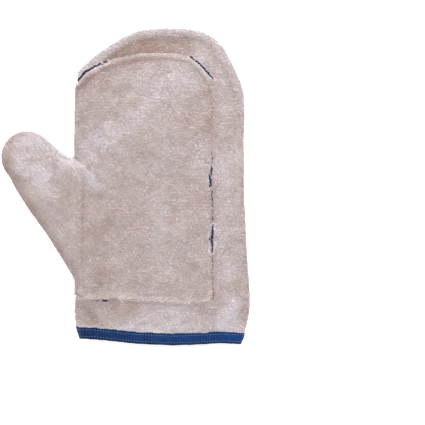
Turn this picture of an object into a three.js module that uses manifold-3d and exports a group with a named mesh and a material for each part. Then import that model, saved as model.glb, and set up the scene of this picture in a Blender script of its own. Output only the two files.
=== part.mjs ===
// A left-hand terry cloth heat mitten, lying on its back with the palm up.
// Millimetres, +Z up, fingertips towards +Y, thumb towards -X. The origin is under the middle of the part.

import * as THREE from 'three';
import { mergeVertices } from 'three/addons/utils/BufferGeometryUtils.js';
import Module from 'manifold-3d';

const wasm = await Module();
wasm.setup();

// Cloth
const GAP = 0.3; // between one piece and the next
const SHELL = 3.2; // heavy looped terry, one layer
const PATCH = 3.0; // the second layer on the palm
const TAPE = 1.2; // the folded binding, one side

// Height of the hand, measured to the shell's outer face
const PALM_TOP = 27; // middle of the palm
const FOLD_TOP = 22.5; // just inside the fold on the thumb side
const FOLD_MID = 12; // height of the outermost line of the fold
const FOLD_RADIUS = 11;
const FOLD_RISE = 34; // from the fold's crest to the full height of the palm
const RIM_TOP = 13; // crest of the rolled seam round the fingertips
const RIM_MID = 6.2;
const RIM_RADIUS = 6;
const RIM_RISE = 56;
const RIM_DIP = 1.4; // the hollow band between the rolled seam and the patch
const RIM_DIP_AT = 15;
const RIM_DIP_WIDTH = 8;
const CORNER_BLEND = 40; // the fold gets lower towards the corner at the fingertips
const ARC_FROM_Y = 60; // the hollow band comes up between here and the arc round the fingertips
const ARC_RUN = 40;
const BELOW = -20; // cutting shapes reach past the part at both ends
const ABOVE = 60;
const FAR = 200;

// Patch
const PATCH_RIGHT = 81.4;
const RETURN_RIGHT = -2.6; // the part of the patch that goes round the fold and lies on the back
const RETURN_TOP = 98.5;
const RETURN_BOTTOM = -101;
const PATCH_HEM = 5.5; // the turned edge along the patch's top and bottom, which stands up a little
const PATCH_HEM_RISE = 1.4;
const RAISE_PAST_RETURN = 4; // how far past a layer under it the cloth stays up
const RAISE_PAST_TAPE = 9;
const RAISE_RUN = 6; // and over which it then comes down to the floor

// Thumb
const THUMB_TIP_TOP = 21;
const THUMB_BASE_TOP = 27;
const THUMB_RADIUS = 12;
const THUMB_RISE = 60; // from the tip's height to the height at the base
const THUMB_CROWN = 1.6;
const THUMB_SEAM_X = -40.5; // where the thumb's cloth ends on the palm
const THUMB_CAP = { x: -94.2, y: 28.2, length: 24.9, halfWidth: 25, turns: [16, 32, 47, 61, 74, 84] };
const MOUTH_TOP = 19; // the way from the hand into the thumb
const MOUTH_BOTTOM = 6;
const MOUTH_X = -50;
const MOUTH_RUN = 12;

// Cuff
const BAND = 11.6; // width of the binding

// The hand in plan, from below the hem to the fingertips: a row for each section
const HAND_ROWS = [
  { y: -158, left: -38.5, right: 104.5 },
  { y: -150.5, left: -41.0, right: 107.6 },
  { y: -144, left: -43.2, right: 110.4 },
  { y: -137, left: -45.6, right: 112.4 },
  { y: -128, left: -47.6, right: 115.2 },
  { y: -116, left: -48.2, right: 117.2 },
  { y: -106, left: -47.0, right: 117.3 },
  { y: -92, left: -46.4, right: 116.7 },
  { y: -60, left: -46.2, right: 114.5 },
  { y: -12, left: -46.1, right: 111.8 },
  { y: 36, left: -46.4, right: 111.8 },
  { y: 70, left: -46.3, right: 112.0 },
  { y: 90, left: -46.0, right: 111.4 },
  { y: 101, left: -46.4, right: 108.0 },
  { y: 109.2, left: -47.6, right: 104.0 },
  { y: 117.6, left: -38.3, right: 99.6 },
  { y: 127.3, left: -26.9, right: 94.2 },
  { y: 134.9, left: -15.5, right: 89.0 },
  { y: 140.6, left: -6.0, right: 83.0 },
  { y: 144.6, left: 1.2, right: 77.0 },
  { y: 147.6, left: 8.6, right: 70.4 },
  { y: 149.6, left: 16.6, right: 63.4 },
  { y: 150.8, left: 26.0, right: 55.0 },
];
const FINGERTIP = { x: 40, y: 151.1 };
const CORNER_ROW = 14; // the fold ends and the sewn arc begins

// The thumb in plan, from deep in the palm to the start of its round tip
const THUMB_ROWS = [
  { lowX: -33, lowY: -113, highX: -17, highY: -100 },
  { lowX: -42, lowY: -101.5, highX: -18, highY: -72 },
  { lowX: -50.0, lowY: -88.2, highX: -19, highY: -44 },
  { lowX: -54.8, lowY: -79.4, highX: -20, highY: -20 },
  { lowX: -61.4, lowY: -68.0, highX: -24, highY: -1 },
  { lowX: -68.9, lowY: -56.5, highX: -31, highY: 11 },
  { lowX: -76.6, lowY: -45.0, highX: -40, highY: 19 },
  { lowX: -84.6, lowY: -33.6, highX: -48.8, highY: 24.5 },
  { lowX: -91.6, lowY: -22.6, highX: -55.5, highY: 28.2 },
  { lowX: -98.0, lowY: -12.4, highX: -62.0, highY: 32.6 },
  { lowX: -105.0, lowY: -2.0, highX: -69.0, highY: 38.4 },
];

// Edges in plan, each from the thumb side to the other side
const HEM = [
  { x: -70, y: -142 },
  { x: -44, y: -144 },
  { x: -21, y: -146.2 },
  { x: 12, y: -149.5 },
  { x: 44.5, y: -151.1 },
  { x: 78, y: -150.2 },
  { x: 109, y: -149.5 },
  { x: 140, y: -149.5 },
];
const PATCH_TOP = [
  { x: -60, y: 99.7 },
  { x: -46.9, y: 99.7 },
  { x: -38.8, y: 108.2 },
  { x: -24, y: 116.8 },
  { x: -8.8, y: 122.2 },
  { x: 12, y: 126.0 },
  { x: 39.7, y: 126.9 },
  { x: 60.7, y: 123.5 },
  { x: 74, y: 112.1 },
  { x: PATCH_RIGHT, y: 102.5 },
];
const PATCH_BOTTOM = [
  { x: -60, y: -104.3 },
  { x: -45, y: -104.2 },
  { x: -2.1, y: -104.1 },
  { x: 21.7, y: -106 },
  { x: 46.4, y: -107.7 },
  { x: PATCH_RIGHT, y: -107.9 },
];

// Where the columns of a section lie, as shares of its width
const HAND_TOP_COLUMNS = [
  0, 0.004, 0.014, 0.03, 0.05, 0.075, 0.115, 0.18, 0.26, 0.36, 0.47,
  0.58, 0.68, 0.765, 0.83, 0.875, 0.91, 0.938, 0.96, 0.978, 0.991, 0.9975, 1,
];
const HAND_BOTTOM_COLUMNS = [
  0, 0.004, 0.014, 0.03, 0.05, 0.075, 0.299, 0.345, 0.938, 0.96, 0.978, 0.991, 0.9975, 1,
];
const THUMB_COLUMNS = [0, 0.015, 0.06, 0.13, 0.24, 0.38, 0.5, 0.62, 0.76, 0.87, 0.94, 0.985, 1];
const THUMB_BOTTOM_COLUMNS = [0, 0.015, 0.06, 0.13, 0.24, 0.76, 0.87, 0.94, 0.985, 1];

const lerp = THREE.MathUtils.lerp;
const ease = (x) => THREE.MathUtils.smoothstep(x, 0, 1);

// Share of the height lost at a distance from a rounded edge: 1 on the edge, 0 past the radius
function roundedOff(distance, radius) {
  const inward = 1 - THREE.MathUtils.clamp(distance / radius, 0, 1);
  return 1 - Math.sqrt(1 - inward * inward);
}

// Points moved outwards by the same distance all along an open outline that runs clockwise
function offsetOutline(points, out) {
  return points.map((point, i) => {
    const before = points[Math.max(i - 1, 0)];
    const after = points[Math.min(i + 1, points.length - 1)];
    const into = new THREE.Vector2().subVectors(point, before).normalize();
    const away = new THREE.Vector2().subVectors(after, point).normalize();
    const along = new THREE.Vector2().addVectors(into, away).normalize();
    const mitre = 1 / Math.max(along.dot(i > 0 ? into : away), 0.5);
    return new THREE.Vector2(point.x - along.y * out * mitre, point.y + along.x * out * mitre);
  });
}

function distanceToLine(x, y, points) {
  let least = Infinity;
  for (let i = 0; i + 1 < points.length; i += 1) {
    const a = points[i];
    const b = points[i + 1];
    const run = b.clone().sub(a);
    const share = ((x - a.x) * run.x + (y - a.y) * run.y) / run.lengthSq();
    const t = THREE.MathUtils.clamp(share, 0, 1);
    least = Math.min(least, Math.hypot(x - a.x - run.x * t, y - a.y - run.y * t));
  }
  return least;
}

// Height of a line in plan at x, where the line is given by points from left to right
function lineAt(points, x) {
  const last = points.length - 2;
  let i = 0;
  while (i < last && points[i + 1].x < x) i += 1;
  const share = (x - points[i].x) / (points[i + 1].x - points[i].x);
  return lerp(points[i].y, points[i + 1].y, THREE.MathUtils.clamp(share, 0, 1));
}

function toManifold(geometry) {
  geometry.deleteAttribute('normal');
  geometry.deleteAttribute('uv');
  const merged = mergeVertices(geometry, 1e-5);
  const vertProperties = new Float32Array(merged.attributes.position.array);
  const triVerts = new Uint32Array(merged.index.array);
  return new wasm.Manifold(new wasm.Mesh({ numProp: 3, vertProperties, triVerts }));
}

// A closed solid through rings of points, with the first ring capped and the last drawn into a point
function ringsToManifold(rings, pole) {
  const count = rings[0].length;
  const positions = rings.flat().concat([pole]).flatMap((p) => [p.x, p.y, p.z]);
  const index = [];
  for (let row = 0; row + 1 < rings.length; row += 1) {
    for (let k = 0; k < count; k += 1) {
      const a = row * count + k;
      const b = row * count + ((k + 1) % count);
      index.push(a, b, a + count, b, b + count, a + count);
    }
  }
  const last = (rings.length - 1) * count;
  for (let k = 0; k < count; k += 1) index.push(last + k, last + ((k + 1) % count), rings.length * count);
  const mouth = rings[0].map((p) => new THREE.Vector2(p.x, p.z));
  index.push(...THREE.ShapeUtils.triangulateShape(mouth, []).flat());
  const geometry = new THREE.BufferGeometry();
  geometry.setAttribute('position', new THREE.Float32BufferAttribute(positions, 3));
  geometry.setIndex(index);
  return toManifold(geometry);
}

// A bag in plan: rows of a left and a right point end in a pole, and heightsAt gives both faces
function bag(outline, rowCount, topColumns, bottomColumns, heightsAt) {
  const pole = outline[rowCount];
  const rings = [];
  for (let row = 0; row < rowCount; row += 1) {
    const left = outline[row];
    const right = outline[outline.length - 1 - row];
    const at = (share, face) => {
      const x = lerp(left.x, right.x, share);
      const y = lerp(left.y, right.y, share);
      return new THREE.Vector3(x, y, heightsAt(x, y)[face]);
    };
    const over = topColumns.map((share) => at(share, 'top'));
    const under = bottomColumns.slice(1, -1).reverse().map((share) => at(share, 'bottom'));
    rings.push([...over, ...under]);
  }
  return ringsToManifold(rings, new THREE.Vector3(pole.x, pole.y, heightsAt(pole.x, pole.y).top));
}

// How far the shell lies above the floor: it lies on the patch's return and on the binding
function raiseAt(x, y) {
  const overReturn =
    (1 - ease((x - RETURN_RIGHT - RAISE_PAST_RETURN) / RAISE_RUN)) *
    (1 - ease((y - RETURN_TOP - RAISE_PAST_RETURN) / RAISE_RUN)) *
    (1 - ease((PATCH_BOTTOM[0].y - RAISE_PAST_RETURN - y) / RAISE_RUN));
  const overTape = 1 - ease((y - lineAt(HEM, x) - BAND - RAISE_PAST_TAPE) / RAISE_RUN);
  return Math.max((PATCH + GAP) * overReturn, (TAPE + GAP) * overTape);
}

// The whole hand as a closed solid whose faces lie `out` outside the shell's outer face
function handSolid(out) {
  const lefts = HAND_ROWS.map((row) => new THREE.Vector2(row.left, row.y));
  const rights = HAND_ROWS.map((row) => new THREE.Vector2(row.right, row.y)).reverse();
  const tip = new THREE.Vector2(FINGERTIP.x, FINGERTIP.y);
  const outline = offsetOutline([...lefts, tip, ...rights], out);
  const fold = outline.slice(0, CORNER_ROW + 1);
  const rim = outline.slice(CORNER_ROW);
  const heightsAt = (x, y) => {
    const toFold = distanceToLine(x, y, fold);
    const toRim = distanceToLine(x, y, rim);
    const mid = lerp(RIM_MID, FOLD_MID, ease(toRim / CORNER_BLEND));
    const inFold = 1 - roundedOff(toFold, FOLD_RADIUS + out);
    const inRim = 1 - roundedOff(toRim, RIM_RADIUS + out);
    const edge = 1 - inFold * inRim;
    const foldDrop = (PALM_TOP - FOLD_TOP) * (1 - ease((toFold - FOLD_RADIUS - out) / FOLD_RISE));
    const rimDrop = (PALM_TOP - RIM_TOP) * (1 - ease((toRim - RIM_RADIUS - out) / RIM_RISE));
    const onArc = ease((y - ARC_FROM_Y) / ARC_RUN);
    const dip = RIM_DIP * onArc * Math.exp(-(((toRim - out - RIM_DIP_AT) / RIM_DIP_WIDTH) ** 2));
    const top = PALM_TOP - Math.cbrt(foldDrop ** 3 + rimDrop ** 3) - dip + out;
    return { top: lerp(top, mid, edge), bottom: lerp(raiseAt(x, y) - out, mid, edge) };
  };
  return bag(outline, HAND_ROWS.length, HAND_TOP_COLUMNS, HAND_BOTTOM_COLUMNS, heightsAt);
}

// The thumb as a closed solid that reaches into the palm. As a bore it narrows to the way into the hand
function thumbSolid(out, isBore) {
  const cap = THUMB_CAP;
  const first = THUMB_ROWS[THUMB_ROWS.length - 1];
  const across = new THREE.Vector2(first.highX - first.lowX, first.highY - first.lowY).normalize();
  const along = new THREE.Vector2(-across.y, across.x);
  const capPoint = (degrees, side) => {
    const turn = THREE.MathUtils.degToRad(degrees);
    return new THREE.Vector2(cap.x, cap.y)
      .addScaledVector(along, cap.length * Math.sin(turn))
      .addScaledVector(across, side * cap.halfWidth * Math.cos(turn));
  };
  const turns = [0, ...cap.turns];
  const lows = THUMB_ROWS.map((row) => new THREE.Vector2(row.lowX, row.lowY));
  const highs = THUMB_ROWS.map((row) => new THREE.Vector2(row.highX, row.highY));
  lows.push(...turns.map((degrees) => capPoint(degrees, -1)));
  highs.push(...turns.map((degrees) => capPoint(degrees, 1)));
  const outline = offsetOutline([...lows, capPoint(90, 1), ...highs.reverse()], out);
  const heightsAt = (x, y) => {
    const fromTip = along.x * (cap.x - x) + along.y * (cap.y - y);
    const full = lerp(THUMB_TIP_TOP, THUMB_BASE_TOP, ease(fromTip / THUMB_RISE));
    const distance = distanceToLine(x, y, outline);
    const edge = roundedOff(distance, THUMB_RADIUS + out);
    const crown = THUMB_CROWN * (1 - ease((distance - out) / cap.halfWidth));
    const inMouth = isBore ? ease((x - MOUTH_X + MOUTH_RUN) / MOUTH_RUN) : 0;
    const top = lerp(full - crown + out, MOUTH_TOP, inMouth);
    const bottom = lerp(-out, MOUTH_BOTTOM, inMouth);
    return { top: lerp(top, full / 2, edge), bottom: lerp(bottom, full / 2, edge) };
  };
  return bag(outline, lows.length, THUMB_COLUMNS, THUMB_BOTTOM_COLUMNS, heightsAt);
}

// A plan shape drawn up from one height to another
function prism(points, bottom, top) {
  const shape = new THREE.Shape(points.map((p) => new THREE.Vector2(p.x, p.y)));
  const geometry = new THREE.ExtrudeGeometry(shape, { depth: top - bottom, bevelEnabled: false });
  geometry.translate(0, 0, bottom);
  return toManifold(geometry);
}

// Everything in plan between a line from left to right, moved up by `up`, and a level far above or below it
function strip(line, up, farY) {
  const low = line.map((p) => ({ x: p.x, y: p.y + up }));
  return prism([...low, { x: line.at(-1).x, y: farY }, { x: line[0].x, y: farY }], BELOW, ABOVE);
}

function toMesh(name, solid, material) {
  const { vertProperties, triVerts } = solid.getMesh();
  const geometry = new THREE.BufferGeometry();
  geometry.setAttribute('position', new THREE.Float32BufferAttribute(vertProperties, 3));
  geometry.setIndex([...triVerts]);
  geometry.computeVertexNormals();
  const mesh = new THREE.Mesh(geometry, material);
  mesh.name = name;
  return mesh;
}

function handShell(bore) {
  const wall = handSolid(0).subtract(handSolid(-SHELL));
  return wall.intersect(strip(HEM, TAPE + GAP, FAR)).subtract(bore);
}

// The patch goes over the palm, round the fold and a little way onto the back
function palmPatch(bore) {
  const layer = handSolid(GAP + PATCH).subtract(handSolid(GAP));
  const overPalm = prism([...PATCH_BOTTOM, ...PATCH_TOP.toReversed()], FOLD_MID, ABOVE);
  const onBack = prism(
    [
      PATCH_BOTTOM[0],
      { x: RETURN_RIGHT, y: RETURN_BOTTOM },
      { x: RETURN_RIGHT, y: RETURN_TOP },
      PATCH_TOP[0],
    ],
    BELOW,
    FOLD_MID
  );
  const above = handSolid(GAP + PATCH + PATCH_HEM_RISE).subtract(handSolid(GAP + PATCH / 2));
  const topHem = strip(PATCH_TOP.slice(1), -PATCH_HEM, FAR);
  const bottomHem = strip(PATCH_BOTTOM.slice(1), PATCH_HEM, -FAR);
  const turned = above.intersect(overPalm).intersect(topHem.add(bottomHem));
  return layer.intersect(overPalm.add(onBack)).add(turned).subtract(bore);
}

// The thumb sits on the patch at the fold and ends on the palm in a straight seam
function thumb(bore) {
  const seat = handSolid(GAP + PATCH + GAP);
  const outside = strip([{ x: -FAR, y: -FAR }, { x: THUMB_SEAM_X, y: -FAR }], 0, FAR);
  return thumbSolid(0, false).subtract(bore).subtract(seat).intersect(outside);
}

// Tape folded round the hem: one side on the outer face, one in the mouth
function cuffBinding() {
  const tape = handSolid(GAP + TAPE).subtract(handSolid(-SHELL - GAP - TAPE));
  const band = strip(HEM, 0, FAR).subtract(strip(HEM, BAND, 2 * FAR));
  const room = handSolid(GAP).subtract(handSolid(-SHELL - GAP)).intersect(strip(HEM, TAPE, FAR));
  return tape.intersect(band).subtract(room);
}

const terry = new THREE.MeshStandardMaterial({ color: 0xcdbfbb, roughness: 0.95, metalness: 0 });
const palmTerry = new THREE.MeshStandardMaterial({ color: 0xc6b7b3, roughness: 0.95, metalness: 0 });
const thumbTerry = new THREE.MeshStandardMaterial({ color: 0xd0c4c3, roughness: 0.95, metalness: 0 });
const blueTape = new THREE.MeshStandardMaterial({ color: 0x1f4f96, roughness: 0.7, metalness: 0 });

const bore = thumbSolid(-SHELL, true);
const mitten = new THREE.Group();
mitten.name = 'heat_mitten';
mitten.add(toMesh('hand_shell', handShell(bore), terry));
mitten.add(toMesh('palm_patch', palmPatch(bore), palmTerry));
mitten.add(toMesh('thumb', thumb(bore), thumbTerry));
mitten.add(toMesh('cuff_binding', cuffBinding(), blueTape));

export default mitten;
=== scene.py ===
"""A terry cloth heat mitten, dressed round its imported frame.

The mitten lies palm up. Plan sizes are millimetres in the part's frame, with the fingertips towards +Y and
the thumb towards -X. They are turned into metres only where a mesh, a lamp or the camera is made.
"""

import logging
import math
from dataclasses import dataclass
from enum import Enum
from typing import Callable, Sequence

import bpy
import numpy as np
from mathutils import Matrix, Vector
from mathutils.bvhtree import BVHTree

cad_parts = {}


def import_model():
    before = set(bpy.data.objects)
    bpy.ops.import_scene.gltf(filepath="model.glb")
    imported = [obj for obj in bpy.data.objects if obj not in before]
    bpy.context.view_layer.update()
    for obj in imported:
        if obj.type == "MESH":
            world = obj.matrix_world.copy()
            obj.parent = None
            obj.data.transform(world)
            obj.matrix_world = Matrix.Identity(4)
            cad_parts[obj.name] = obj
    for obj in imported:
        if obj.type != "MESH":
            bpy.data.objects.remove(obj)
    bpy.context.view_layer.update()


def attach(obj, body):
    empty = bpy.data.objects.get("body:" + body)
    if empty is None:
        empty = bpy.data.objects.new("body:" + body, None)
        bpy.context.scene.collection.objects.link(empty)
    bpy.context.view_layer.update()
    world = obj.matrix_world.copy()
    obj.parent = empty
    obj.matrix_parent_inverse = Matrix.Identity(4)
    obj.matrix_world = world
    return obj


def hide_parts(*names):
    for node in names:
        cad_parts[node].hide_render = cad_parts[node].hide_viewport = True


LOG = logging.getLogger("mitten")

MM = 0.001
TURN = 2 * math.pi
PIXEL = 0.952  # millimetres that one pixel of the photograph covers
IMAGE_SIDE = 425  # pixels
ORIGIN_PIXEL = (126.25, 186.7)  # where the photograph shows the part's origin

TAPE_WIDTH = 11.6
THUMB_SEAM_X = -40.5
PATCH_RIGHT = 81.4
FLOOR_CLEARANCE = 0.25
CLOSES_GAP = 0.25  # two pieces that grow by this much touch
FAR = 60.0  # from here a ray meets the mitten from outside
FULL_THREAD = 1.4  # a seam run wider than this is seen whole, the others show between the loops
THREAD = 1.25  # width of a stitch of the seam's usual weight
STRAND_GAP = 0.9  # from strand to strand where a seam run has several
THUMB_ROW = (0.597, -0.802)  # direction of the thumb's rows of loops in plan
BARE_BELOW = -0.6  # cloth that faces down more than this gets no painted soil, shade or highlight

Numbers = np.ndarray
Piece = bpy.types.Object
Setting = float | str | bool | tuple


# Plan lines of the mitten


def eased(x: Numbers) -> Numbers:
    """Smooth step from 0 at x 0 to 1 at x 1."""
    t = np.clip(x, 0, 1)
    return t * t * (3 - 2 * t)


def rising(x: Numbers, start: float, run: float) -> Numbers:
    """Smooth step from 0 at `start` to 1 after `run`."""
    return eased((x - start) / run)


def falling(x: Numbers, end: float, run: float) -> Numbers:
    """Smooth step down to 0 at `end`, from 1 at `run` before it."""
    return eased((end - x) / run)


def hump(distance: Numbers, width: float, at: float = 0.0) -> Numbers:
    """A soft ridge's share of its height, 1 where the distance is `at`."""
    return np.exp(-(((distance - at) / width) ** 2))


@dataclass(frozen=True)
class PlanLine:
    """A line on the cloth, seen from above.

    Attributes:
        points: x and y of each corner.
    """

    points: tuple[tuple[float, float], ...]

    def measure(self, places: Numbers) -> tuple[Numbers, Numbers]:
        """How far places lie from the line, and how far along it.

        Args:
            places: one row of x and y, or x, y and z, for each place.

        Returns:
            The distance of each place, and the length of line before the point nearest to it.
        """
        plan = places[:, :2]
        nearest = np.full(len(plan), np.inf)
        along = np.zeros(len(plan))
        before = 0.0
        for start, end in zip(self.points, self.points[1:]):
            corner = np.array(start)
            run = np.array(end) - corner
            length = float(np.hypot(*run))
            share = np.clip((plan - corner) @ run / length**2, 0, 1)
            apart = np.hypot(*(plan - corner - share[:, None] * run).T)
            closer = apart < nearest
            nearest[closer] = apart[closer]
            along[closer] = before + share[closer] * length
            before += length
        return nearest, along

    def distance(self, places: Numbers) -> Numbers:
        """How far places lie from the line."""
        return self.measure(places)[0]

    def stroke(self, places: Numbers, height: float, width: float, at: float = 0.0) -> Numbers:
        """A soft ridge of this height at a distance `at` from the line, or a groove where it is negative."""
        return height * hump(self.distance(places), width, at)

    def length(self) -> float:
        """Length of the whole line."""
        return sum(math.dist(a, b) for a, b in zip(self.points, self.points[1:]))

    def height_at(self, x: Numbers) -> Numbers:
        """The line's y at each x, for a line that runs from left to right."""
        xs, ys = zip(*self.points)
        return np.interp(x, xs, ys)

    def stepped(self, step: float) -> Numbers:
        """Places at even steps along the line, x and y in each row."""
        corners = np.array(self.points)
        reach = np.concatenate([[0], np.cumsum(np.hypot(*np.diff(corners, axis=0).T))])
        at = np.arange(step / 2, reach[-1], step)
        return np.stack([np.interp(at, reach, corners[:, 0]), np.interp(at, reach, corners[:, 1])], 1)


def line(*corners: tuple[float, float]) -> PlanLine:
    """A plan line through these corners."""
    return PlanLine(corners)


SEWN_RIM = line(
    (107.6, -150.5), (115.2, -128), (117.3, -106), (114.5, -60), (111.8, -12), (111.8, 36), (112.0, 70),
    (111.4, 90), (104.0, 109.2), (94.2, 127.3), (83.0, 140.6), (70.4, 147.6), (55.0, 150.8), (40.0, 151.1),
    (26.0, 150.8), (8.6, 147.6), (-6.0, 140.6), (-26.9, 127.3), (-47.6, 109.2),
)
HEM = line(
    (-70, -142.3), (-44, -144.3), (-30, -144.4), (12, -148.3), (44.5, -149.8), (78, -149.3), (95, -149),
    (109, -150.2), (140, -150.5),
)
HEM_LIFT = line(
    (-70, -0.3), (-44, -0.3), (-30, 0.9), (0, 1.2), (44, 1.3), (78, 0.9), (92, 1.0), (105, -0.3), (112, -1.0),
)
PATCH_TOP = line(
    (-46.9, 99.7), (-38.8, 108.2), (-24, 116.8), (-8.8, 122.2), (12, 126), (39.7, 126.9), (60.7, 123.5),
    (74, 112.1), (PATCH_RIGHT, 102.5),
)
PATCH_SIDE = line((PATCH_RIGHT, 102.5), (81.3, 35), (80.6, 12), (81.6, -12), (81.9, -60), (82, -107.9))
PATCH_BOTTOM = line((-43, -104.2), (-2.1, -104.1), (21.7, -106), (46.4, -107.7), (PATCH_RIGHT, -107.9))
ROLLED_LINE = line(
    (-43, -104.8), (-2.1, -104.7), (21.7, -106.6), (46.4, -108.3), (73, -108.5), (77, -107.4),
    (78.8, -104.2), (79, -98),
)
RETURN_EDGE = line((-2.6, 98), (-1.8, 60), (-3.0, 20), (-2.2, -30), (-3.0, -70), (-2.6, -100))
THUMB_SEAM = line((THUMB_SEAM_X, 16), (THUMB_SEAM_X, -70), (-39.4, -104))
THUMB_EDGE = line(
    (-92, 53), (-82.1, 50.2), (-75.4, 44.5), (-68.8, 38.7), (-61.2, 33.0), (-54.5, 27.3), (-48.7, 24.8),
    (-43.5, 22.7), (-39.8, 20.1), (-34.7, 15.4), (-31.1, 11.7), (-27.5, 8.1), (-26.4, 3.5),
)
THUMB_FOLD = line((-57, 27.5), (-49.5, 22.8), (-41, 18.6), (-36, 13.8), (-29.5, 7.5), (-28.4, 1.5))
THUMB_DIP = line((-48, 26), (-42.9, 23.3), (-39.2, 20.7), (-34, 15.9), (-26.9, 8.4), (-25, 2.8))
THUMB_SHINE = line((-102, 22), (-90, 13), (-80, 6), (-66, -10))
THUMB_UNDERSIDE = line((-117, 18), (-111, 0), (-98, -16), (-76.6, -45), (-66, -62))
CUFF_DENT = line((-42, -116), (-34, -122), (-25, -135))
CUFF_SWELL = line((104, -112), (100.5, -117.5), (90, -129))
TOP_LEFT = line(
    (-45.2, 99.8), (-45.3, 102.6), (-42.2, 105.7), (-38.9, 109.0), (-34.9, 111.5), (-30.8, 113.4),
    (-22.1, 117.0), (-17.5, 118.3),
)
TOP_RIGHT = line((60.3, 123.2), (64, 120.6), (70, 115.2), (76, 109.2), (81.6, 103.2))
SIDE_BULGE = line((81.2, 17), (79.8, 13), (79.2, 9), (80.2, 5), (79.4, 0))
SIDE_KNOT = line((81.9, -37), (81.4, -44), (80.4, -50), (81.8, -55), (80.6, -62))


def above_hem(places: Numbers) -> Numbers:
    """How far each place lies from the hem towards the fingertips."""
    return places[:, 1] - HEM.height_at(places[:, 0])


def on_patch(places: Numbers) -> Numbers:
    """1 for each place that is below the patch's top edge in plan, 0 for those beyond it."""
    return (places[:, 1] < PATCH_TOP.height_at(places[:, 0])).astype(float)


def on_ridge(places: Numbers) -> Numbers:
    """How much each place belongs to the pale ridges along the patch's top and bottom edges, whose tops get a
    painted highlight.
    """
    top = PATCH_TOP.stroke(places, 0.45, 1.9, 2.4) * on_patch(places)
    return top + ROLLED_LINE.stroke(places, 1.1, 2.6)


def waves(places: Numbers, length: float, seed: int, count: int = 14) -> Numbers:
    """Gentle irregular ups and downs through space, between about -1 and 1.

    Args:
        places: x, y and z of each place.
        length: usual distance from one crest to the next.
        seed: chooses the pattern.
        count: how many plain waves are added up.

    Returns:
        One number for each place.
    """
    rng = np.random.default_rng(seed)
    ways = rng.normal(size=(count, 3))
    ways /= np.linalg.norm(ways, axis=1, keepdims=True)
    tempo = TURN / (length * rng.uniform(0.75, 1.5, count))
    shift = rng.uniform(0, TURN, count)
    return np.sin(places @ (ways * tempo[:, None]).T + shift).sum(1) / math.sqrt(count)


def ways_across(plan: Numbers) -> tuple[Numbers, Numbers]:
    """The direction of a stepped line at each of its places, and the unit direction to its left."""
    ways = np.gradient(plan, axis=0)
    return ways, np.stack([-ways[:, 1], ways[:, 0]], 1) / np.linalg.norm(ways, axis=1, keepdims=True)


# Meshes


def deselect_all() -> None:
    """Leaves object mode on and nothing selected."""
    if bpy.context.object and bpy.context.object.mode != "OBJECT":
        bpy.ops.object.mode_set(mode="OBJECT")
    bpy.ops.object.select_all(action="DESELECT")


def make_active(piece: Piece) -> None:
    """Selects one piece alone and makes it the active one."""
    deselect_all()
    piece.select_set(True)
    bpy.context.view_layer.objects.active = piece


def add_object(name: str, data: bpy.types.ID) -> Piece:
    """A new object in the scene that shows a mesh, a lamp or a camera."""
    added = bpy.data.objects.new(name, data)
    bpy.context.scene.collection.objects.link(added)
    return added


def edit_all(piece: Piece, operator: Callable[..., set], **settings: Setting) -> None:
    """Runs one operator of edit mode on the whole mesh of a piece."""
    make_active(piece)
    bpy.ops.object.mode_set(mode="EDIT")
    bpy.ops.mesh.select_all(action="SELECT")
    operator(**settings)
    bpy.ops.object.mode_set(mode="OBJECT")


def apply_modifier(piece: Piece, kind: str, **settings: Setting) -> None:
    """Adds a modifier with these settings and applies it."""
    make_active(piece)
    modifier = piece.modifiers.new(kind.lower(), kind)
    for name, value in settings.items():
        setattr(modifier, name, value)
    bpy.ops.object.modifier_apply(modifier=modifier.name)


def evened_out(piece: Piece, facet: float, smoothing: int) -> None:
    """Gives a piece even faces of this size and smooths them this often."""
    apply_modifier(piece, "REMESH", mode="VOXEL", voxel_size=facet * MM)
    apply_modifier(piece, "SMOOTH", factor=0.5, iterations=smoothing)


def vectors_of(piece: Piece, name: str) -> Numbers:
    """Three numbers of every vertex of a piece, in rows."""
    found = np.empty(len(piece.data.vertices) * 3, np.float32)
    piece.data.vertices.foreach_get(name, found)
    return found.reshape(-1, 3).astype(float)


def places_of(piece: Piece) -> Numbers:
    """Each vertex's place in millimetres."""
    return vectors_of(piece, "co") / MM


def normals_of(piece: Piece) -> Numbers:
    """Each vertex's outward direction."""
    return vectors_of(piece, "normal")


def triangles_of(piece: Piece) -> Numbers:
    """The three vertices of each triangle of a piece."""
    piece.data.calc_loop_triangles()
    found = np.empty(len(piece.data.loop_triangles) * 3, np.int32)
    piece.data.loop_triangles.foreach_get("vertices", found)
    return found.reshape(-1, 3)


def move_to(piece: Piece, places: Numbers) -> None:
    """Puts each vertex at its place in millimetres."""
    piece.data.vertices.foreach_set("co", (places * MM).astype(np.float32).ravel())
    piece.data.update()


def move_above(piece: Piece, places: Numbers, floor: float) -> None:
    """Puts each vertex at its place, but none lower than this."""
    places[:, 2] = np.maximum(places[:, 2], floor)
    move_to(piece, places)


def paint(piece: Piece, name: str, values: Numbers) -> None:
    """Stores one number for each vertex as an attribute that a finish can read."""
    layer = piece.data.attributes.new(name, "FLOAT", "POINT")
    layer.data.foreach_set("value", values.astype(np.float32))


def smooth_all(piece: Piece) -> None:
    """Shades every face of a piece smooth."""
    piece.data.polygons.foreach_set("use_smooth", np.ones(len(piece.data.polygons), bool))


def copy_of_node(node: str, name: str) -> Piece:
    """A new piece in the shape of a CAD node, whose loose triangles are merged."""
    mesh = bpy.data.objects[node].data.copy()
    mesh.materials.clear()
    piece = add_object(name, mesh)
    edit_all(piece, bpy.ops.mesh.remove_doubles, threshold=1e-6)
    return piece


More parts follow.
